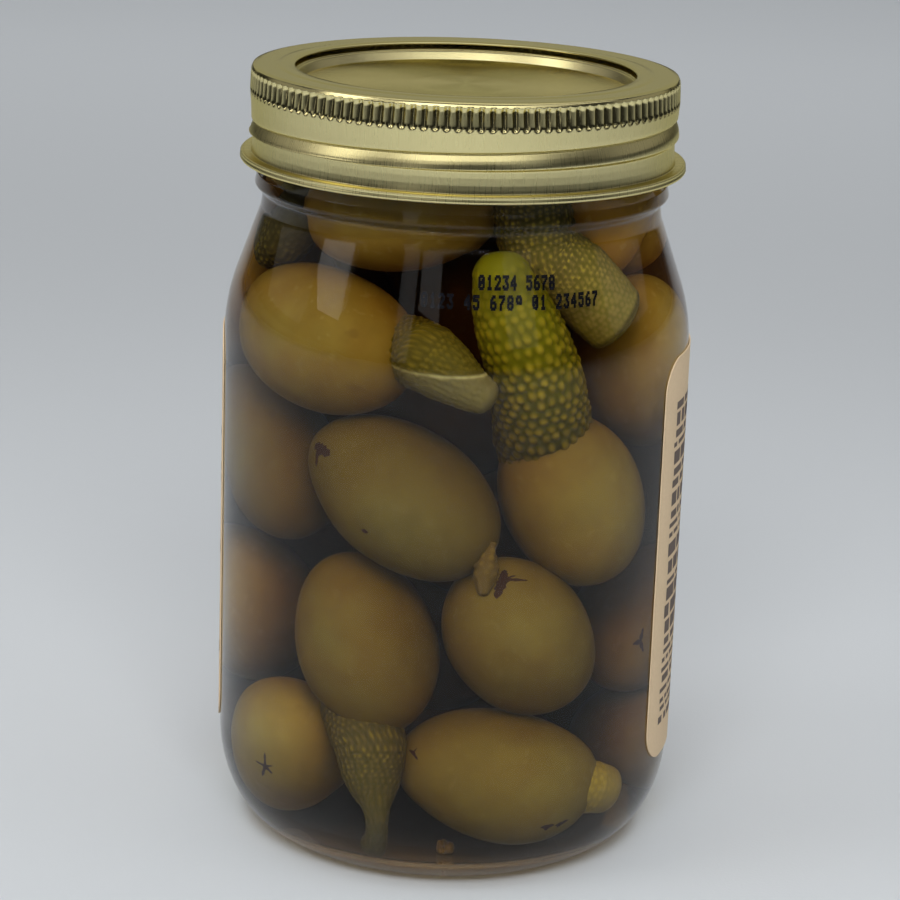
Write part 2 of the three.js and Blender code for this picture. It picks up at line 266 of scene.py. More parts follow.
camera = bpy.data.cameras.new("camera")
camera.lens, camera.sensor_width = CAMERA_LENS, SENSOR_WIDTH
camera.clip_start = CLIP_START
viewpoint = bpy.data.objects.new("camera", camera)
viewpoint.matrix_world = (
    Matrix.Translation(CAMERA_PLACE)
    @ Matrix.Rotation(math.radians(CAMERA_TURN), 4, "Z")
    @ Matrix.Rotation(math.radians(90 - CAMERA_PITCH), 4, "X")
    @ Matrix.Rotation(math.radians(CAMERA_ROLL), 4, "Z")
)
bpy.context.scene.collection.objects.link(viewpoint)
bpy.context.scene.camera = viewpoint

# Glass jar
# A pressed and blown jar of clear soda glass: a foot ring round a shallow push-up, a round heel, a straight
# body, a sloping shoulder and a neck with a bead under the screw finish.
GLASS_SIDES = 256
GLASS_IOR = 1.52
BODY_RADIUS, WALL = 39.5, 2.6
INNER_RADIUS = BODY_RADIUS - WALL
FOOT_RADIUS, HEEL_HEIGHT = 29.0, 17.0
SHOULDER_HEIGHT, SHOULDER_ROUND = 92.5, 32
RIM_HEIGHT, MOUTH_RADIUS = 130.7, 30.6
FLOOR_EDGE, FLOOR_HEIGHT, INNER_HEEL = 27.5, 3.8, 14.5
FLOOR_RING, FLOOR_RISE, FLOOR_MIDDLE = 18, 4.8, 5.6
# The foot lies under the first height. The inside is wet above the second, and its floor is under the third.
FOOT_BAND, WET_FROM, WET_FLOOR = 4.0, 3.0, 20.0
CLEAR, DAYLIGHT = (0.975, 0.99, 0.98), (0.95, 0.97, 0.96)
# The foot's glass is tinted dark brown and lets only part of the light through, the rest a dull brown: partly
# the brine's brown seen through it, partly painted shade for the shadowed table and olive undersides seen in
# the base.
FOOT_BROWN_AND_SHADE, FOOT_SHADE, FOOT_THROUGH = (0.29, 0.197, 0.107), (0.17, 0.128, 0.077), 0.6
SHINE, WET_SHINE, FOOT_SHINE = 0.42, 0.04, 0.2
# Half the angle of a corner, in radians, from which it counts as straight
STRAIGHT = 1.57


def bow(centre, radii, start, end, steps):
    """Points on a part of an ellipse, its angles in degrees."""
    angle = np.radians(np.linspace(start, end, steps))
    return [(centre[0] + radii[0] * math.cos(a), centre[1] + radii[1] * math.sin(a)) for a in angle]


def rounded(corners, steps=6):
    """A profile through (radius, height, rounding) with its corners rounded."""
    points = [corners[0][:2]]
    for before, corner, after in zip(corners, corners[1:], corners[2:]):
        here = np.array(corner[:2], float)
        back, on = np.array(before[:2]) - here, np.array(after[:2]) - here
        back_length, on_length = np.linalg.norm(back), np.linalg.norm(on)
        back, on = back / back_length, on / on_length
        half = math.acos(np.clip(back @ on, -1, 1)) / 2
        reach = 0
        if half < STRAIGHT:
            reach = min(corner[2] / math.tan(half), 0.49 * back_length, 0.49 * on_length)
        for t in np.linspace(0, 1, steps if reach > 0 else 1):
            points.append(tuple(here + reach * ((1 - t) ** 2 * back + t ** 2 * on)))
    return points + [corners[-1][:2]]


def inner_wall(bite=0.0):
    """The inside of the glass from the edge of the floor to the rim, moved outwards by bite."""
    heel_top = FLOOR_HEIGHT + INNER_HEEL
    heel = bow((FLOOR_EDGE, heel_top), (INNER_RADIUS - FLOOR_EDGE, INNER_HEEL), -90, 0, 18)
    upper = rounded([
        (INNER_RADIUS, heel_top, 0), (INNER_RADIUS, SHOULDER_HEIGHT, SHOULDER_ROUND), (31.2, 108.5, 5),
        (MOUTH_RADIUS, 112, 4), (MOUTH_RADIUS, RIM_HEIGHT, 0)], 10)
    return [(r + bite, z) for r, z in heel + upper[1:]]


outside = rounded([(0, 2.9, 0), (21, 2.5, 3), (24.5, 1.9, 2), (26.6, 0, 0.8), (FOOT_RADIUS, 0, 0)])
outside += bow((FOOT_RADIUS, HEEL_HEIGHT), (BODY_RADIUS - FOOT_RADIUS, HEEL_HEIGHT), -90, 0, 24)[1:]
outside += rounded([
    (BODY_RADIUS, HEEL_HEIGHT, 0), (BODY_RADIUS, SHOULDER_HEIGHT, SHOULDER_ROUND), (33.7, 108.7, 4),
    (33.4, 111.4, 0.9), (34.8, 112.6, 0.8), (34.4, 114.6, 0.8), (33.4, 116.2, 1.0),
    (33.4, RIM_HEIGHT, 0.8), (MOUTH_RADIUS, RIM_HEIGHT, 0)], 10)[1:]


def glass_finish(name, shine, tint, shade, through=1.0):
    """Glass that mirrors more or less, its own tint and the tint of the lamps' light that it lets by."""
    glass = Finish(name)
    ripple = glass.noise(14, detail=1) + glass.noise(4, detail=1) * 0.12
    return glass.clear(glass.principled({
        "Base Color": (*tint, 1.0),
        "Roughness": 0.0,
        "IOR": GLASS_IOR,
        "Specular Tint": (shine, shine, shine, 1.0),
        "Transmission Weight": through,
        "Normal": glass.bump(ripple, 0.012),
    }), shade)


inside = inner_wall()[::-1][1:] + [(FLOOR_RING, FLOOR_RISE), (0, FLOOR_MIDDLE)]
jar = turned("glass_jar", outside + inside, GLASS_SIDES, glass_finish("clear_glass", SHINE, CLEAR, DAYLIGHT))
jar.data.materials.append(glass_finish("wet_glass", WET_SHINE, CLEAR, DAYLIGHT))
# The glass under the foot is painted dark brown, partly as shade.
jar.data.materials.append(glass_finish("foot_glass_brown_and_shade", FOOT_SHINE, FOOT_BROWN_AND_SHADE, FOOT_SHADE, FOOT_THROUGH))
for face in jar.data.polygons:
    inwards = face.normal.x * face.center.x + face.normal.y * face.center.y < 0
    upwards = face.normal.z > 0.6 and face.center.z < WET_FLOOR * MM
    if face.center.z < FOOT_BAND * MM and face.normal.z < -0.5:
        face.material_index = 2
    elif face.center.z > WET_FROM * MM and (inwards or upwards):
        face.material_index = 1
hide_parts("jar")
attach(jar, "root")

# Brine
# The pickling liquid, brown from the olives, which fills the jar up to the neck behind the screw band. It
# wets the glass, so its skin reaches a hair into the wall.
BRINE_LEVEL, BRINE_BITE = 126.0, 0.05
BRINE_IOR = 1.345
BRINE_COLOUR, BRINE_DENSITY = (0.72, 0.55, 0.15), 80.0

brine = Finish("brown_brine")
brown = {"Color": (*BRINE_COLOUR, 1.0), "Density": BRINE_DENSITY}
stain = brine.node("ShaderNodeVolumeAbsorption", {}, brown)["Volume"]
brine_material = brine.clear(brine.principled({
    "Base Color": (1.0, 1.0, 1.0, 1.0),
    "Roughness": 0.0,
    "IOR": BRINE_IOR,
    "Specular Tint": (0.05, 0.05, 0.05, 1.0),
    "Transmission Weight": 1.0,
}), (1.0, 1.0, 1.0), stain)
wet_wall = [p for p in inner_wall(BRINE_BITE) if p[1] < BRINE_LEVEL]
wet_floor = [(0, FLOOR_MIDDLE - BRINE_BITE), (FLOOR_RING, FLOOR_RISE - BRINE_BITE)]
surface = [(MOUTH_RADIUS + BRINE_BITE, BRINE_LEVEL), (0, BRINE_LEVEL)]
liquid = turned("brine", wet_floor + wet_wall + surface, GLASS_SIDES, brine_material)
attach(liquid, "root")

# Olives
# Large green olives gone khaki in the brine, pitted through a star cut and packed by hand against the
# glass. Three have one end cut open for a gherkin. The ones in the middle only show as shadows between them,
# their colour painted dark as shade.
OLIVE_HALF, OLIVE_RADIUS = 15.9, 11.0
OLIVE_MESH, MIDDLE_MESH = (56, 64), (24, 28)
GLASS_GAP, SEATING_ROUNDS = 0.3, 8
LUMP_SIZE, LUMP_DEPTH, LUMP_WAVES, LUMP_SUM = 19, 0.018, 7, 2.6
# How far past a cut the skin is before it folds in, how much it folds, and how wide the cut's dark edge of
# painted shade is
FOLD_PAST, FOLD_IN, CUT_EDGE = 0.5, 1.9, 0.2
MIDDLE_LEVELS, MIDDLE_OFF = (17, 36, 55, 74, 93, 112), 3
# Painted shade: the olives in the middle get a darker colour for the little light that reaches them.
MIDDLE_SIZE, MIDDLE_TONE, MIDDLE_PAINTED_SHADE = 0.95, 0.1, 0.35
# Each: around, height, tilt from upright, lean out to the glass, size, tone (0 brown to 1 green), painted
# shade, ends
# The painted shade multiplies the olive's colour: below 1 as painted shade, above 1 as painted light.
OLIVES = [
    # against the front, from the top down
    (-26, 112, 71, 0, 1.0, 0.40, 0.85, "plain"),
    (-49, 89.5, 95, -6, 1.0, 0.52, 0.85, "open_right"),
    (-16, 66, 126, 5, 1.05, 0.80, 0.56, "plain"),
    (45, 65, -22, -8, 1.0, 0.70, 0.97, "open_top"),
    (-28, 40, -13, 2, 1.0, 0.60, 0.66, "open_bottom"),
    (26, 42, -31, 14, 1.0, 0.75, 0.80, "plain"),
    (21, 18, 105, 11, 1.0, 0.80, 0.78, "plain"),
    (-63, 18, 50, 24, 0.95, 0.80, 1.25, "plain"),
    # at the sides
    (66, 112, 15, 0, 0.92, 0.15, 1.8, "plain"),
    (83, 84, -30, 0, 0.97, 0.65, 1.55, "plain"),
    (98, 38, 60, 5, 0.95, 0.65, 1.15, "plain"),
    (101, 17, 100, 0, 0.93, 0.70, 1.0, "plain"),
    (-76, 68, -38, 3, 0.97, 0.65, 0.62, "plain"),
    (-97, 38, 20, 0, 0.95, 0.90, 1.55, "plain"),
    # at the back, above the label and below it
    (106, 110, 5, 0, 0.92, 0.60, 3.0, "plain"),
    (186, 114, 70, 0, 0.92, 0.50, 1.0, "plain"),
    (247, 115, 15, 0, 0.90, 0.40, 1.0, "plain"),
    (138, 87, 70, 0, 0.95, 0.50, 1.0, "plain"),
    (198, 89, 85, 0, 0.97, 0.40, 1.0, "plain"),
    (256, 92, 30, 0, 0.92, 0.30, 1.0, "plain"),
    (171, 15, 95, 0, 0.95, 0.50, 0.3, "plain"),
    (226, 15, 84, 0, 0.95, 0.40, 0.3, "plain"),
]
# A cut end: the way the cut faces (across, inwards, along the olive) and how far it is from the middle
MOUTHS = {
    "open_right": ((-0.2, 0.5, 0.85), 13.4),
    "open_top": ((0.0, 0.16, 0.99), 12.0),
    "open_bottom": ((-0.57, 0.0, -0.82), 11.4),
}


def wall_radius(height):
    """How far the inside of the glass is from the axis at a height."""
    radius, level = np.array(inner_wall()).T
    return np.interp(height, level, radius)


def lumps(points, seed):
    """Smooth unevenness over an olive's points, as a share of their distance from its middle."""
    draw = np.random.RandomState(seed)
    total = np.zeros(len(points))
    for _ in range(LUMP_WAVES):
        direction = draw.normal(size=3)
        direction *= 2 * np.pi / (LUMP_SIZE * draw.uniform(0.7, 1.5) * np.linalg.norm(direction))
        total += np.sin(points @ direction + draw.uniform(0, 2 * np.pi))
    return total * LUMP_DEPTH / LUMP_SUM


def olive_skin(size, ends, seed, mesh):
    """An olive standing on end at the origin: its points, and how far each is in a cut, which is painted dark
    as shade.
    """
    rows, columns = mesh
    t = np.linspace(0, 1, rows)
    tilt = np.pi * (t - 0.5 * np.sin(2 * np.pi * t) / (2 * np.pi))
    turn = np.arange(columns) * 2 * np.pi / columns
    out = np.sin(tilt)[:, None] * OLIVE_RADIUS * size
    along = np.broadcast_to(-np.cos(tilt)[:, None] * OLIVE_HALF * size, mesh)
    points = np.stack([out * np.cos(turn), out * np.sin(turn), along], axis=-1).reshape(-1, 3)
    cut = np.zeros(len(points))
    points = points * (1 + lumps(points, seed))[:, None]
    if ends in MOUTHS:
        facing, offset = np.array(MOUTHS[ends][0]), MOUTHS[ends][1]
        facing = facing / np.linalg.norm(facing)
        beyond = points @ facing - offset
        sunk = np.where(beyond > FOLD_PAST, FOLD_IN * beyond, np.maximum(beyond, 0))
        points = points - sunk[:, None] * facing
        cut = np.where(beyond > CUT_EDGE, 1.0, np.exp(-(np.minimum(beyond, 0) / CUT_EDGE) ** 2))
    return points, cut


def lie(around, tilt, lean):
    """The outward direction, and the turn that lays an upright piece at its tilt and lean."""
    out, side, up = polar(around, 1, 0), polar(around + 90, 1, 0), np.array([0, 0, 1.0])
    tip, push = math.radians(tilt), math.radians(lean)
    axis = math.cos(push) * (math.cos(tip) * up + math.sin(tip) * side) + math.sin(push) * out
    across = np.cross(axis, out)
    across /= np.linalg.norm(across)
    return out, np.stack([across, np.cross(axis, across), axis])


def seated(points, out):
    """Points pushed outwards until they almost touch the glass."""
    for _ in range(SEATING_ROUNDS):
        room = wall_radius(points[:, 2]) - GLASS_GAP - np.hypot(points[:, 0], points[:, 1])
        points = points + out * room.min()
    return points


def joined(parts):
    """Grids of points with their values, as one list of points, one of faces and the values by name."""
    faces, start = [], 0
    for grid, _ in parts:
        faces.append(grid_faces(*grid.shape[:2]) + start)
        start += grid.shape[0] * grid.shape[1]
    points = np.concatenate([grid.reshape(-1, 3) for grid, _ in parts])
    names = parts[0][1].keys()
    values = {name: np.concatenate([np.ravel(given[name]) for _, given in parts]) for name in names}
    return points, np.concatenate(faces), values


parts, mouths, beds = [], {}, []
for seed, (around, height, tilt, lean, size, tone, shade, ends) in enumerate(OLIVES):
    points, cut = olive_skin(size, ends, seed, OLIVE_MESH)
    out, turn = lie(around, tilt, lean)
    laid = points @ turn + [0, 0, height]
    points = seated(laid, out)
    centre = points[0] - laid[0] + [0, 0, height]
    beds.append((centre, turn, size, seed))
    if ends in MOUTHS:
        girths = np.array([OLIVE_RADIUS, OLIVE_RADIUS, OLIVE_HALF]) * size
        facing = np.array(MOUTHS[ends][0])
        facing = facing / np.linalg.norm(facing)
        to_mouth = MOUTHS[ends][1] * girths ** 2 * facing / (girths ** 2 @ facing ** 2)
        mouths[ends] = (centre + to_mouth @ turn, facing @ turn)
    # Each olive carries its painted shade, a factor on its colour for the light it gets.
    values = {"tone": np.full(len(points), tone), "shade": np.full(len(points), shade), "cut": cut}
    parts.append((points.reshape(*OLIVE_MESH, 3), values))
middle = np.random.RandomState(7)
for level in MIDDLE_LEVELS:
    points, cut = olive_skin(MIDDLE_SIZE, "plain", level, MIDDLE_MESH)
    out, turn = lie(middle.uniform(0, 360), middle.uniform(40, 140), 0)
    points = points @ turn + polar(middle.uniform(0, 360), MIDDLE_OFF, level)
    tones, painted_shades = [np.full(len(points), value) for value in (MIDDLE_TONE, MIDDLE_PAINTED_SHADE)]
    values = {"tone": tones, "shade": painted_shades, "cut": cut}
    parts.append((points.reshape(*MIDDLE_MESH, 3), values))

olive = Finish("olive_skin")
tone = olive.attribute("tone") + (olive.noise(10, detail=2) - 0.5) * 0.9
brown_green = olive.mix(olive.span(tone, 0.0, 1.0), (0.215, 0.114, 0.014), (0.190, 0.136, 0.027))
mottled = olive.scaled(brown_green, olive.noise(5, detail=4, roughness=0.6) * 0.5 + 0.75)
pale_dots = olive.span(olive.noise(1.3, detail=0), 0.70, 0.76)
speckled = olive.mix(pale_dots * 0.14, mottled, (0.34, 0.26, 0.10))
bruise = olive.span(olive.noise(4, detail=3), 0.66, 0.80)
bruised = olive.mix(bruise * 0.35, speckled, (0.10, 0.05, 0.012))
# Painted light and shade: each olive's colour made darker or lighter by its painted shade.
painted_shading = olive.scaled(bruised, olive.attribute("shade"))
# Painted shade: the inside of a cut end and its lip made nearly black, for the shade in the opening round the
# gherkin.
skin_colour = olive.mix(olive.attribute("cut") * 0.9, painted_shading, (0.035, 0.014, 0.006))
olive_material = olive.output(olive.principled({
    "Base Color": skin_colour,
    "Roughness": 0.5,
    "Specular IOR Level": 0.05,
    "Normal": olive.bump(olive.noise(3.0, detail=1), 0.03),
}))
points, faces, values = joined(parts)
heap = made("stuffed_olives", points, faces, olive_material, values)
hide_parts("olives")
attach(heap, "root")

# Pitting marks
# The dark star cuts and nicks left where the stones were pushed out, each a few tapering slits in the skin.
# They are laid on the olives that they belong to, a hair above the skin.
MARK_LIFT, MARK_RADIUS, MARK_STEPS = 0.04, 36, 8
MARK_WAVER, MARK_WAVES = 0.25, 3
# Each: its olive, around and height of the place that it faces, and its slits as heading, length and width
MARKS = [
    (5, 11.9, 59.8, ((-94, 6.4, 2.6), (-4, 5.8, 1.6), (96, 6.5, 2.2), (40, 3.5, 1.2))),
    (7, -53.0, 15.2, ((85, 3.2, 0.7), (175, 2.8, 0.6), (-40, 2.4, 1.0), (-115, 3.6, 0.9), (20, 2.2, 0.6))),
    (6, -21.5, 26.6, ((-35, 3.4, 0.9), (160, 2.6, 0.9), (70, 2.0, 0.6))),
    (6, 31.0, 9.6, ((0, 1.5, 1.1), (180, 1.5, 1.1), (-80, 1.8, 1.0))),
    (6, 36.0, 9.6, ((15, 1.6, 1.1), (195, 1.4, 1.1), (-100, 1.6, 0.9))),
    (10, 58.0, 36.4, ((75, 4.0, 1.6), (-60, 3.6, 1.6), (190, 3.6, 1.5))),
    (2, -45.0, 77.0, ((-20, 5.5, 2.8), (160, 3.5, 2.6), (-80, 5.0, 1.8))),
    (2, -22.0, 62.0, ((0, 0.7, 0.8), (180, 0.7, 0.8))),
    (14, 112, 120.0, ((20, 2.4, 0.8), (110, 2.2, 0.8), (200, 2.4, 0.8), (290, 2.2, 0.8))),
    (18, 214, 90.0, ((10, 2.4, 0.8), (130, 2.2, 0.8), (250, 2.4, 0.8))),
]


def on_olive(bed, place):
    """The spot on an olive's skin that faces a place, a hair above the skin."""
    centre, turn, size, seed = bed
    girths = np.array([OLIVE_RADIUS, OLIVE_RADIUS, OLIVE_HALF]) * size
    way = (place - centre) @ turn.T
    spot = way / np.linalg.norm(way / girths, axis=-1, keepdims=True)
    spot = spot * (1 + lumps(spot, seed))[:, None]
    spot = spot * (1 + MARK_LIFT / np.linalg.norm(spot, axis=-1, keepdims=True))
    return spot @ turn + centre


def slit(index, around, height, heading, length, width):
    """A slit that tapers to its end, as four strips that follow the skin of its olive."""
    along = np.linspace(0, length, MARK_STEPS + 1)
    taper = np.sqrt(np.clip(1 - (along / length) ** 2, 0, 1))
    half = width / 2 * taper * (1 + MARK_WAVER * np.sin(MARK_WAVES * along + index))
    c, s = math.cos(math.radians(heading)), math.sin(math.radians(heading))
    lines = []
    for side in (-1, -0.5, 0, 0.5, 1):
        run, rise = along * c - side * half * s, along * s + side * half * c
        places = polar(around + np.degrees(run / MARK_RADIUS), MARK_RADIUS, height + rise)
        lines.append(on_olive(beds[index], places))
    return [np.array([one[n], one[n + 1], other[n + 1], other[n]])
            for one, other in zip(lines, lines[1:]) for n in range(MARK_STEPS)]


slits = []
for index, around, height, arms in MARKS:
    for heading, length, width in arms:
        slits += slit(index, around, height, heading, length, width)
scar = Finish("olive_scar")
scar_material = scar.output(scar.principled({
    "Base Color": scar.mix(scar.noise(0.8), (0.018, 0.008, 0.008), (0.055, 0.024, 0.018)),
    "Roughness": 0.6,
    "Specular IOR Level": 0.05,
}))
points = np.concatenate(slits)
scars = made("olive_scars", points, np.arange(len(points)).reshape(-1, 4), scar_material)
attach(scars, "root")

# Gherkins
# Small warty gherkins pushed into the pitted olives. They stick out of the cut ends and lie along the glass,
# one of them with its stalk still on and one trimmed to its pale flesh, with two torn scraps among them.
INTO_OLIVE, LINE_STEPS, LINE_SMOOTHING = 4.0, 240, 60
START_CAP, TIP_CUT, SQUARE_TIP, ROW_CROWDING, SPARE_ROWS = 0.3, 0.8, 0.8, 0.06, 8
# As shares of the pitch: the gap between rows of warts, and how far a wart strays round and along
WART_ROWS, WART_STRAY, WART_SLIP = 0.87, 0.16, 0.14
# The smallest and the largest wart as shares of the pitch, and the lowest as a share of the wart height
WART_SMALL, WART_LARGE, WART_LOWEST = 0.36, 0.46, 0.65
# The share of the length from which warts get lower, how low they are at the tip, and how high is high
SMOOTHER_FROM, TIP_WARTS, WART_MEAN, WART_HIGH = 0.45, 0.3, 0.6, 0.45
PALE_BLUR, EDGE_WIDTH, RIM_WIDTH = 0.3, 0.2, 0.45
# Each: the cut end that it comes out of, then its stations of around, height, radius and the depth of its
# middle behind the glass, then wart height, wart pitch, mesh step, green (0 grey to 1 yellow-green), tan,
# painted shade and light at both ends, the height below which it is pale, and how square its tip is
# The painted shade multiplies a gherkin's colour: below 1 as painted shade, above 1 as painted light.
GHERKINS = [
    ("open_right",
     ((-7.5, 90.3, 5.0, 6.5), (-1.8, 88.6, 4.6, 5.0), (4.0, 86.5, 3.5, 4.0), (8.0, 85.3, 2.8, 3.4)),
     0.36, 1.05, 0.22, 0.85, 0.2, (0.38, 0.54), 89.0, 0.5),
    ("open_top",
     ((30.6, 79.5, 7.0, 11.5), (25.5, 86.8, 6.8, 9.0), (21.1, 92.1, 6.6, 7.8), (18.5, 95.2, 6.4, 7.2),
      (16.1, 99.2, 5.8, 6.5), (13.8, 103.3, 4.6, 5.3)),
     0.60, 1.75, 0.22, 0.85, 0.0, (0.50, 1.15), 0.0, 0.1),
    ("",
     ((22, 116, 5.4, 6.2), (29, 106.5, 6.0, 6.6), (38, 103, 6.2, 6.8), (47, 97.8, 6.2, 6.8),
      (52.5, 94.6, 5.8, 6.4)),
     0.34, 1.1, 0.30, 0.20, 0.0, (0.45, 2.1), 0.0, 0.85),
    ("open_bottom",
     ((-22.0, 23.5, 5.8, 7.4), (-20.6, 19.2, 5.0, 6.2), (-18.9, 15.8, 3.7, 4.8), (-17.7, 13.9, 2.3, 3.4),
      (-17.3, 12.2, 1.8, 2.8), (-17.6, 9.4, 1.7, 2.6), (-18.6, 7.4, 1.9, 2.8), (-19.6, 6.6, 2.1, 3.0)),
     0.28, 1.1, 0.28, 0.2, 0.0, (0.60, 0.60), 0.0, 0.3),
    ("",
     ((12.0, 60.4, 0.6, 6.2), (11.3, 58.8, 1.0, 5.6), (10.5, 56.6, 1.9, 5.0), (10.1, 54.6, 1.8, 4.6),
      (9.7, 52.8, 1.1, 4.0)),
     0.30, 1.5, 0.25, 0.5, 0.5, (0.60, 0.64), 0.0, 0.1),
    ("",
     ((0.0, 5.2, 0.7, 9.0), (2.0, 5.2, 1.0, 9.2), (4.6, 5.3, 0.8, 9.0)),
     0.40, 1.2, 0.20, 0.5, 0.6, (1.0, 1.0), 0.0, 0.4),
    ("",
     ((42, 16.0, 4.0, 5.6), (48, 14.6, 4.4, 6.0), (53.5, 13.4, 4.0, 6.0)),
     0.12, 1.5, 0.36, 0.6, 0.2, (1.5, 1.5), 0.0, 0.0),
    ("",
     ((-80, 102, 5.0, 5.6), (-70.6, 104.5, 5.2, 5.8), (-62, 109, 4.6, 5.2)),
     0.3, 1.4, 0.36, 0.0, 0.0, (0.42, 0.42), 0.0, 0.2),
]


def gherkin_line(mouth, stations):
    """The middle line of a gherkin in even steps: its points, its radii and how far along each is."""
    stations = np.array(stations)
    around, height, radius, depth = stations.T
    spots = polar(around, wall_radius(height) - depth, height)
    if mouth:
        lip, facing = mouths[mouth]
        spots = np.concatenate([[lip - INTO_OLIVE * facing, lip], spots])
        radius = np.concatenate([[radius[0], radius[0]], radius])
    table = np.concatenate([spots, radius[:, None]], axis=1)
    at = np.concatenate([[0], np.cumsum(np.linalg.norm(np.diff(spots, axis=0), axis=1))])
    even = np.linspace(0, at[-1], LINE_STEPS)
    table = np.stack([np.interp(even, at, column) for column in table.T], axis=1)
    for _ in range(LINE_SMOOTHING):
        table[1:-1] = (table[:-2] + 2 * table[1:-1] + table[2:]) / 4
    return table[:, :3], table[:, 3], even


def warts(s, turn, radius, length, caps, pitch, seed):
    """How high the warts stand, from 0 to 1, over the rows and columns of a gherkin's skin."""
    draw = np.random.RandomState(seed)
    bump = np.zeros((len(s), len(turn)))
    for row, level in enumerate(np.arange(-caps[0] / 2, length + caps[1] / 2, pitch * WART_ROWS)):
        here = np.interp(level, s, radius)
        count = max(3, int(2 * np.pi * here / pitch))
        for k in range(count):
            angle = 2 * np.pi * (k + 0.5 * (row % 2) + draw.uniform(-WART_STRAY, WART_STRAY)) / count
            up = level + pitch * draw.uniform(-WART_SLIP, WART_SLIP)
            size = pitch * draw.uniform(WART_SMALL, WART_LARGE)
            off = (turn - angle + np.pi) % (2 * np.pi) - np.pi
            far = (s[:, None] - up) ** 2 + (off[None, :] * here) ** 2
            dome = np.sqrt(np.clip(1 - far / size ** 2, 0, 1))
            bump = np.maximum(bump, draw.uniform(WART_LOWEST, 1.0) * dome)
    smoother = np.interp(s, [SMOOTHER_FROM * length, length], [1.0, TIP_WARTS])
    return bump * smoother[:, None]


def gherkin_skin(mouth, stations, wart, pitch, step, green, tan, shade, pale_below, square, seed):
    """A tapered rod along its line, with rows of round warts: its points and their values."""
    line, girth, at = gherkin_line(mouth, stations)
    length = at[-1]
    caps = [girth[0] * START_CAP, girth[-1] * (1 - TIP_CUT * square)]
    rows = int((length + sum(caps)) / step) + SPARE_ROWS
    u = np.linspace(0, 1, rows)
    s = (length + sum(caps)) * (u - ROW_CROWDING * np.sin(2 * np.pi * u)) - caps[0]
    inner = np.clip(s, 0, length)
    centre = np.stack([np.interp(inner, at, column) for column in line.T], axis=1)
    radius = np.interp(inner, at, girth)
    axis = np.stack([np.interp(inner, at, column) for column in np.gradient(line, axis=0).T], axis=1)
    axis /= np.linalg.norm(axis, axis=1, keepdims=True)
    past = s - inner
    centre = centre + past[:, None] * axis
    outward = centre * [1, 1, 0]
    side = np.cross(outward, axis)
    side /= np.linalg.norm(side, axis=1, keepdims=True)
    out = np.cross(axis, side)
    end = np.sqrt(np.clip(1 - (past / np.where(past < 0, *caps)) ** 2, 0, 1))
    columns = int(2 * np.pi * radius.max() / step)
    turn = np.arange(columns) * 2 * np.pi / columns
    bump = warts(s, turn, radius, length, caps, pitch, seed)
    reach = (radius[:, None] + wart * bump) * end[:, None]
    across, outwards = reach * np.cos(turn), reach * np.sin(turn)
    sideways = across[..., None] * side[:, None, :]
    points = centre[:, None, :] + sideways + outwards[..., None] * out[:, None, :]
    far_out = np.hypot(points[..., 0], points[..., 1])
    room = np.minimum(1, (wall_radius(points[..., 2]) - GLASS_GAP) / far_out)
    points = points * np.stack([room, room, np.ones_like(room)], axis=-1)
    pale = np.clip((pale_below - points[..., 2]) / PALE_BLUR, 0, 1)
    edge = np.exp(-((points[..., 2] - pale_below) / EDGE_WIDTH) ** 2) * (pale_below > 0)
    ones = np.ones((rows, columns))
    # Painted light and shade along the gherkin, running from one end's factor to the other's.
    painted_shades = np.interp(s, [0, length], shade)
    rim = np.exp(-((s - length) / RIM_WIDTH) ** 2) * (square > SQUARE_TIP)
    relief = WART_MEAN + (bump - WART_MEAN) * min(1, wart / WART_HIGH)
    values = {"wart": relief, "green": green * ones, "tan": tan * ones, "shade": painted_shades[:, None] * ones}
    values.update({"pale": pale, "edge": edge, "rim": rim[:, None] * ones})
    return points, values


parts = [gherkin_skin(*given, seed) for seed, given in enumerate(GHERKINS)]
gherkin = Finish("gherkin_skin")
patch = gherkin.attribute("green") + (gherkin.noise(7, detail=2) - 0.5) * 0.6
field = gherkin.mix(gherkin.span(patch, 0.0, 1.0), (0.125, 0.088, 0.026), (0.190, 0.145, 0.004))
# Painted shade: the low skin between the warts is darkened, for the shade in the creases.
crease_shade = gherkin.mix(gherkin.span(gherkin.attribute("wart"), 0.0, 0.6), (0.58, 0.68, 0.45), (1.0, 1.0, 1.0))
multiply = {"data_type": "RGBA", "blend_type": "MULTIPLY"}
crease_shaded = gherkin.node("ShaderNodeMix", multiply, {0: 1.0, 6: field, 7: crease_shade})[2]
# The wart tops are lighter: partly the warts' paler colour, partly painted light on their tops.
pale_lit_warts = gherkin.mix(gherkin.span(gherkin.attribute("wart"), 0.45, 0.85) * 0.65, crease_shaded, (0.36, 0.27, 0.02))
fibres = gherkin.mix(gherkin.noise(1.2, detail=3), (0.20, 0.165, 0.035), (0.30, 0.25, 0.085))
fleshy = gherkin.mix(gherkin.attribute("pale") * 0.8, pale_lit_warts, fibres)
tanned = gherkin.mix(gherkin.attribute("tan"), fleshy, (0.25, 0.145, 0.05))
spots = gherkin.span(gherkin.noise(1.6, detail=1), 0.76, 0.80)
spotted = gherkin.mix(spots * 0.7, tanned, (0.03, 0.025, 0.01))
# Painted light and shade: each gherkin's colour made darker or lighter along it.
painted_shading = gherkin.scaled(spotted, gherkin.attribute("shade"))
edged = gherkin.mix(gherkin.attribute("edge") * 0.6, painted_shading, (0.50, 0.43, 0.20))
rimmed = gherkin.mix(gherkin.attribute("rim") * 0.8, edged, (0.03, 0.02, 0.008))
gherkin_material = gherkin.output(gherkin.principled({
    "Base Color": rimmed,
    "Roughness": 0.5,
    "Specular IOR Level": 0.06,
    "Normal": gherkin.bump(gherkin.noise(0.9, detail=3), 0.05),
}))
points, faces, values = joined(parts)
gherkins = made("gherkins", points, faces, gherkin_material, values)
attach(gherkins, "root")

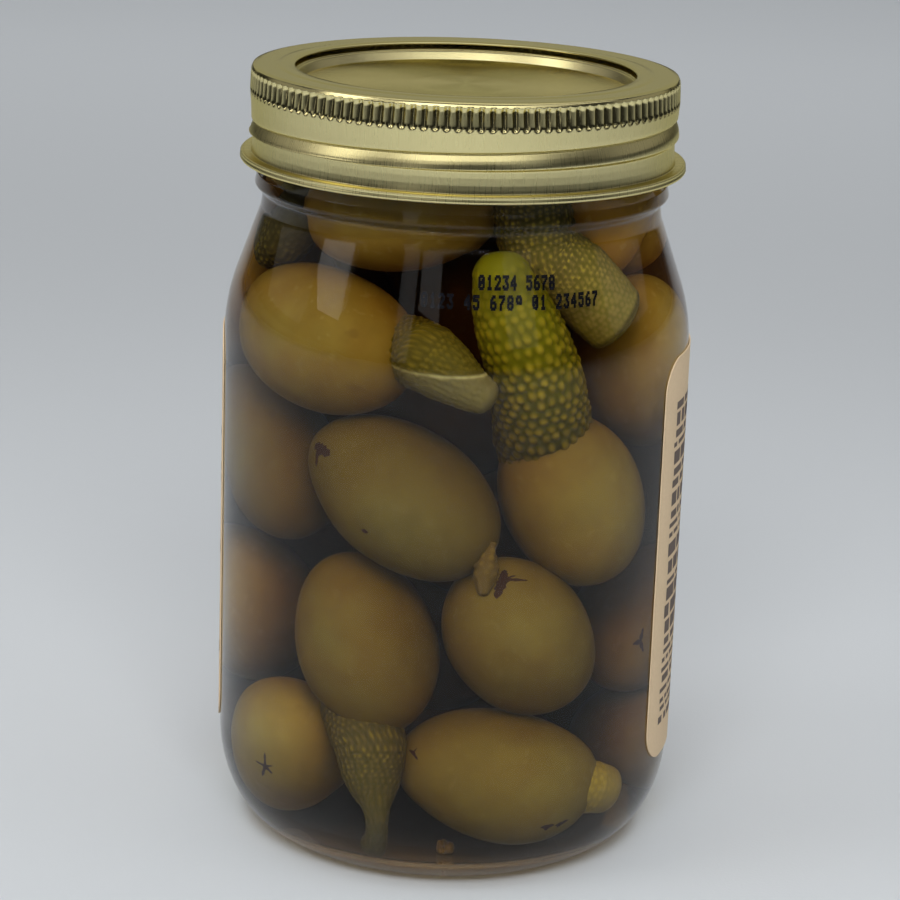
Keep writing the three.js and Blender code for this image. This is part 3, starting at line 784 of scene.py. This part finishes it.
# Lid disc
# A disc of gold-lacquered tinplate that rests on the glass rim under the screw band: a flat edge, a step
# down, and a panel with a low raised middle.
LID_SIDES = 192
LID_RADIUS = 33.1
gold = Finish("gold_disc")
gold_material = gold.output(gold.principled({
    "Base Color": (0.72, 0.64, 0.33, 1.0),
    "Specular Tint": (0.86, 0.80, 0.45, 1.0),
    "Metallic": 1.0,
    "Roughness": gold.noise(9) * 0.08 + 0.20,
    "Anisotropic": 0.9,
    "Normal": gold.bump(gold.noise(0.12, place=gold.stretched(1.0, 0.05, 1.0)), 0.006),
}))
under = rounded([
    (0, 129.58, 0), (8.6, 129.54, 0.8), (9.8, 129.34, 0.8), (27.2, 129.34, 0.4),
    (27.9, 131.05, 0.4), (LID_RADIUS, 131.05, 0)])
over = rounded([
    (LID_RADIUS, 131.3, 0), (28.2, 131.3, 0.4), (27.5, 129.6, 0.4),
    (9.8, 129.6, 0.8), (8.6, 129.8, 0.8), (0, 129.84, 0)])
disc = turned("lid_disc_panel", under + over, LID_SIDES, gold_material)
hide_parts("lid_disc")
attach(disc, "root")

# Screw band
# A ring of the same gold tinplate, rolled in a lathe: a flat top with a hemmed opening, pressed grip flutes,
# a thread that climbs to the right, and a rolled bead round the bottom edge. It is brushed up and down.
FLUTES, FLUTE_COLUMNS = 125, 6
FLUTE_LOW, FLUTE_HIGH, FLUTE_HALF = 128.0, 131.7, 0.68
FLUTE_DEPTH, FLUTE_DEEPER, FLUTE_POWER = 0.42, 0.48, 1.4
THREAD_PITCH, THREAD_HEIGHT, THREAD_REACH, THREAD_RUN_OUT = 5.08, 123.6, 2.2, 0.15
# The wall's middle radius, the radii outside which it is fluted and threaded, and how softly the flutes start
BAND_RADIUS, FLUTED_FROM, THREADED_FROM, FLUTED_BLEND = 35.6, 34.3, 34.7, 0.5
# Points no further apart than this, between these two heights: over the flutes, and over the skirt and thread
FINE_FLUTES, FINE_SKIRT = (0.22, FLUTE_LOW - 0.6, 132.2), (0.3, 118.06, 124.5)


def evenly(profile, step, low, high):
    """A profile with more points between two heights, so that none there are further apart than step."""
    points = [profile[0]]
    for start, end in zip(profile, profile[1:]):
        fine = max(start[1], end[1]) > low and min(start[1], end[1]) < high
        count = max(1, math.ceil(math.dist(start, end) / step)) if fine else 1
        across = np.array(end) - start
        points += [tuple(np.array(start) + across * k / count) for k in range(1, count + 1)]
    return points


bead = bow((36.85, 117.2), (0.45, 0.42), -150, 40, 8) + bow((36.9, 117.85), (0.33, 0.24), -40, 100, 6)
band_outside = [(35.2, 117.6)] + bead + rounded([
    # the skirt above the bead
    (36.75, 118.04, 0), (35.42, 118.08, 0.1), (35.34, 118.7, 1.0), (35.27, 119.4, 1.5), (35.22, 120.6, 1.0),
    (35.22, 121.65, 0.1),
    # the rolled thread and the groove over it
    (35.88, 121.95, 0.15), (35.70, 122.75, 2.0), (35.50, 123.3, 2.0), (35.12, 124.15, 0.1),
    (34.98, 124.3, 0.06),
    # the wall with the flutes
    (35.45, 124.6, 0.3), (35.75, 128.3, 0.5), (35.62, 131.7, 0.12), (35.34, 132.3, 0.2),
    # the flat top and the hem round its opening
    (34.5, 132.47, 0.3), (31.4, 132.38, 0.3), (30.7, 132.5, 0.3), (29.4, 132.48, 0.5), (28.5, 132.38, 0.2),
    (28.3, 132.2, 0.1), (28.4, 132.05, 0)], 3)
band_inside = [(33.6, 132.0), (34.6, 131.2), (34.6, 119.0)]
profile = np.array(evenly(evenly(band_outside, *FINE_FLUTES), *FINE_SKIRT) + band_inside)
columns = FLUTES * FLUTE_COLUMNS
around = np.arange(columns) * 360 / columns
radius, level = [np.repeat(profile[:, k][:, None], columns, axis=1) for k in (0, 1)]
outer = np.clip((radius - FLUTED_FROM) / FLUTED_BLEND, 0, 1)
across = np.abs(((around / 360 * FLUTES) % 1 - 0.5) * 2 * np.pi * BAND_RADIUS / FLUTES)
flute_middle, flute_reach = (FLUTE_LOW + FLUTE_HIGH) / 2, (FLUTE_HIGH - FLUTE_LOW) / 2
past_end = np.maximum(np.abs(level - flute_middle) - flute_reach + FLUTE_HALF, 0)
half = FLUTE_HALF * np.sqrt(np.clip(1 - (past_end / FLUTE_HALF) ** 2, 1e-6, 1))
flute = np.clip(1 - (across[None, :] / half) ** FLUTE_POWER, 0, 1) * (past_end < FLUTE_HALF)
depth = FLUTE_DEPTH + FLUTE_DEEPER * np.clip((level - FLUTE_LOW) / (FLUTE_HIGH - FLUTE_LOW), 0, 1)
radius = radius - depth * flute * outer
turns = (around + 180) % 360 / 360 - 0.5
climb = THREAD_PITCH * turns * np.clip((0.5 - np.abs(turns)) / THREAD_RUN_OUT, 0, 1)
on_thread = np.clip(THREAD_REACH - np.abs(level - THREAD_HEIGHT), 0, 1) * (radius > THREADED_FROM)
points = polar(around[None, :], radius, level + climb[None, :] * on_thread)

band_gold = Finish("brushed_gold")
split = band_gold.node("ShaderNodeSeparateXYZ", {}, {"Vector": band_gold.place()})
angle = split["X"].maths("ARCTAN2", split["X"], split["Y"])
unrolled = {"X": angle * BAND_RADIUS * MM, "Y": split["Z"] * 0.03, "Z": 0.0}
brushed = band_gold.node("ShaderNodeCombineXYZ", {}, unrolled)["Vector"]
streaks = band_gold.noise(0.22, detail=4, roughness=0.7, place=brushed)
on_flutes = band_gold.span(split["Z"], (FLUTE_LOW - 0.4) * MM, (FLUTE_LOW + 0.2) * MM)
band_material = band_gold.output(band_gold.principled({
    "Base Color": band_gold.mix(streaks, (0.66, 0.575, 0.27), (0.78, 0.70, 0.37)),
    "Specular Tint": (0.88, 0.83, 0.52, 1.0),
    "Metallic": 1.0,
    "Roughness": (streaks * 0.18 + 0.20) * (1.0 - on_flutes * 0.5),
    "Anisotropic": 0.6,
    "Normal": band_gold.bump(streaks, 0.008),
}))
band = made("screw_band", points, grid_faces(len(profile), columns, along=True), band_material)
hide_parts("band")
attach(band, "root")

# Paper label
# A sheet of cream paper with rounded corners, glued round the back of the jar from side to side, and printed
# in brown and green: a plaque with an olive sprig in the middle and columns of small print beside it.
LABEL_FROM, LABEL_TO = 61.5, 279.0
LABEL_LOW, LABEL_HIGH, LABEL_CORNER = 16.5, 88.0, 6.0
LABEL_RADIUS, LABEL_THICK = 39.58, 0.2
LABEL_STEPS, CORNER_STEPS = 140, 14
INK_LIFT, INK_STRIP = 0.03, 1.2
LEAF_ROWS, LEAF_STEPS = 10, 20
# The two columns of small print: how far they start from the label's sides, foot and head, and their width
PRINT_LEFT, PRINT_RIGHT, PRINT_FOOT, PRINT_HEAD, PRINT_WIDTH = 4.6, 39, 6.0, 8, 34
LINE_HEIGHTS, LINE_GAPS, WORD_LENGTHS, WORD_GAPS = (0.8, 1.3, 2.3), (0.6, 1.1), (1.2, 5.5), (0.6, 1.3)
LINE_INDENTS, LINE_FILLS = (0, 0.9), (0.75, 1.0)
# The plaque between them: its rules at foot and head, and its bars by inset from its sides, foot and height
PLAQUE_LEFT, RULE_EDGE, RULE_HEIGHT = 45, 5, 0.6
PLAQUE_BARS = ((8, 16, 4.5), (14, 11, 2.2))
# Each leaf: its middle, half its length, half its width and its tilt
LEAVES = ((62, 42, 8, 3.2, 28), (74, 50, 9, 3.0, 60), (88, 48, 8.5, 3.2, 130), (66, 55, 7, 2.6, 100))
PRINTED_OLIVES, PRINTED_OLIVE = ((70, 38), (80, 36), (78, 46)), (6.2, 4.6, 35)

degrees_per_mm = 1 / (math.radians(1) * (LABEL_RADIUS + LABEL_THICK))
label_width = (LABEL_TO - LABEL_FROM) / degrees_per_mm
label_height = LABEL_HIGH - LABEL_LOW
ends = LABEL_CORNER * (1 - np.cos(np.radians(np.linspace(0, 90, CORNER_STEPS))))
between = np.linspace(LABEL_CORNER, label_width - LABEL_CORNER, LABEL_STEPS)[1:-1]
spots = np.concatenate([ends, between, label_width - ends[::-1]])
from_end = 1 - np.clip(np.minimum(spots, label_width - spots) / LABEL_CORNER, 0, 1)
inset = LABEL_CORNER * (1 - np.sqrt(1 - from_end ** 2))
low, high = LABEL_LOW + inset, LABEL_HIGH - inset
spots = LABEL_FROM + spots * degrees_per_mm
sheet = np.stack([polar(spots, LABEL_RADIUS, low), polar(spots, LABEL_RADIUS + LABEL_THICK, low),
                  polar(spots, LABEL_RADIUS + LABEL_THICK, high), polar(spots, LABEL_RADIUS, high)])
last = len(spots) - 1
caps = [[k * len(spots) for k in (3, 2, 1, 0)], [k * len(spots) + last for k in (0, 1, 2, 3)]]
faces = np.concatenate([grid_faces(4, len(spots), around=False, along=True), caps])
paper = Finish("label_paper")
fleck = paper.noise(0.5, detail=4)
paper_material = paper.output(paper.principled({
    "Base Color": paper.mix(fleck, (0.74, 0.565, 0.36), (0.85, 0.66, 0.445)),
    "Roughness": 0.8,
    "Specular IOR Level": 0.25,
    "Normal": paper.bump(fleck, 0.02),
}))
label = made("paper_label", sheet, faces, paper_material)
for polygon in label.data.polygons:
    polygon.use_smooth = False
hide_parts("label")
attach(label, "root")


def ink(outline):
    """A flat shape in mm from the label's lower left corner, bent round the label just above the paper."""
    right, up = np.array(outline, float).T
    return polar(LABEL_FROM + right * degrees_per_mm, LABEL_RADIUS + LABEL_THICK + INK_LIFT, LABEL_LOW + up)


def bar(left, low, width, height):
    """A bar of print as short strips, so that it follows the paper round."""
    edges = np.linspace(left, left + width, max(2, int(width / INK_STRIP) + 2))
    high = low + height
    return [ink([(a, low), (b, low), (b, high), (a, high)]) for a, b in zip(edges, edges[1:])]


def leaf(x, y, half_length, half_width, tilt):
    """A leaf or an olive as small patches that follow the paper round."""
    t = np.linspace(0, np.pi, LEAF_STEPS + 1)
    c, s = math.cos(math.radians(tilt)), math.sin(math.radians(tilt))
    along, wide = -half_length * np.cos(t), half_width * np.sin(t)
    lines = []
    for k in np.linspace(-1, 1, LEAF_ROWS):
        lines.append([(x + a * c - w * k * s, y + a * s + w * k * c) for a, w in zip(along, wide)])
    return [ink([one[i], one[i + 1], other[i + 1], other[i]])
            for one, other in zip(lines, lines[1:]) for i in range(LEAF_STEPS)]


draw = np.random.RandomState(11)
brown, green = [], []
for column in (PRINT_LEFT, label_width - PRINT_RIGHT):
    level = PRINT_FOOT
    while level < label_height - PRINT_HEAD:
        height = draw.choice(LINE_HEIGHTS)
        left = column + draw.uniform(*LINE_INDENTS)
        right = column + PRINT_WIDTH * draw.uniform(*LINE_FILLS)
        while left < right:
            word = draw.uniform(*WORD_LENGTHS)
            brown += bar(left, level, word, height)
            left += word + draw.uniform(*WORD_GAPS)
        level += height + draw.uniform(*LINE_GAPS)
plaque_width = label_width - 2 * PLAQUE_LEFT
for low in (RULE_EDGE, label_height - RULE_EDGE - RULE_HEIGHT):
    brown += bar(PLAQUE_LEFT, low, plaque_width, RULE_HEIGHT)
for inset, low, height in PLAQUE_BARS:
    brown += bar(PLAQUE_LEFT + inset, low, plaque_width - 2 * inset, height)
for given in LEAVES:
    green += leaf(*given)
for x, y in PRINTED_OLIVES:
    green += leaf(x, y, *PRINTED_OLIVE)


def printed(name, shapes, dark, light):
    """A layer of ink made of four-cornered shapes."""
    layer = Finish(name)
    worn = layer.noise(0.4, detail=4)
    material = layer.output(layer.principled({
        "Base Color": layer.mix(worn, dark, light),
        "Roughness": 0.7,
        "Specular IOR Level": 0.1,
    }))
    points = np.concatenate(shapes)
    return made(name, points, np.arange(len(points)).reshape(-1, 4), material)


for layer in (printed("brown_print", brown, (0.13, 0.10, 0.085), (0.20, 0.16, 0.14)),
              printed("green_print", green, (0.10, 0.12, 0.03), (0.16, 0.18, 0.05))):
    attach(layer, "root")

# Stamped numbers
# Two rows of figures in counting order, printed in black ink-jet dots on the shoulder of the filled jar. The
# ink lies on the glass, and its dots run together.
DOTS = {
    "0": "01110 10001 10011 10101 11001 10001 01110", "1": "00100 01100 00100 00100 00100 00100 01110",
    "2": "01110 10001 00001 00010 00100 01000 11111", "3": "11111 00010 00100 00010 00001 10001 01110",
    "4": "00010 00110 01010 10010 11111 00010 00010", "5": "11111 10000 11110 00001 00001 10001 01110",
    "6": "00110 01000 10000 11110 10001 10001 01110", "7": "11111 00001 00010 00100 01000 01000 01000",
    "8": "01110 10001 10001 01110 10001 10001 01110", "9": "01110 10001 10001 01111 00001 00010 01100",
}
# Each: its figures, around and height of its lower left corner, fall to the right, width of a figure
ROWS = [("01234 5678", 5.5, 102.75, 0.33, 1.27), ("0123 45 6789 01 234567", -9.4, 99.6, 0.57, 1.34)]
DOT_RISE, DOT_RUN, DOT_HALF, DOT_TALL = 0.33, 0.165, 0.19, 1.5
DOT_LINES, SHOULDER_POINTS = 7, 60


def glass_radius(height):
    """How far the outside of the glass is from the axis at a height on the shoulder."""
    radius, level = np.array(outside[-SHOULDER_POINTS:]).T
    return np.interp(height, level, radius)


def dot(left, run, rise):
    """One upright dot on the glass, at a run from the left end of its row and at a height."""
    corners = []
    for across, up in ((-1, -1), (1, -1), (1, 1), (-1, 1)):
        height = rise + up * DOT_HALF * DOT_TALL
        radius = glass_radius(height) + INK_LIFT
        corners.append(polar(left + math.degrees((run + across * DOT_HALF) / radius), radius, height))
    return np.array(corners)


dots = []
for figures, left, foot, fall, pitch in ROWS:
    for place, figure in enumerate(figures):
        for line, cells in enumerate(DOTS.get(figure, "").split()):
            rise = foot + (DOT_LINES - 1 - line) * DOT_RISE - fall * place / len(figures)
            inked = [cell for cell, mark in enumerate(cells) if mark == "1"]
            dots += [dot(left, place * pitch + cell * DOT_RUN, rise) for cell in inked]
stamp = printed("stamped_numbers", dots, (0.002, 0.002, 0.004), (0.008, 0.008, 0.012))
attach(stamp, "root")
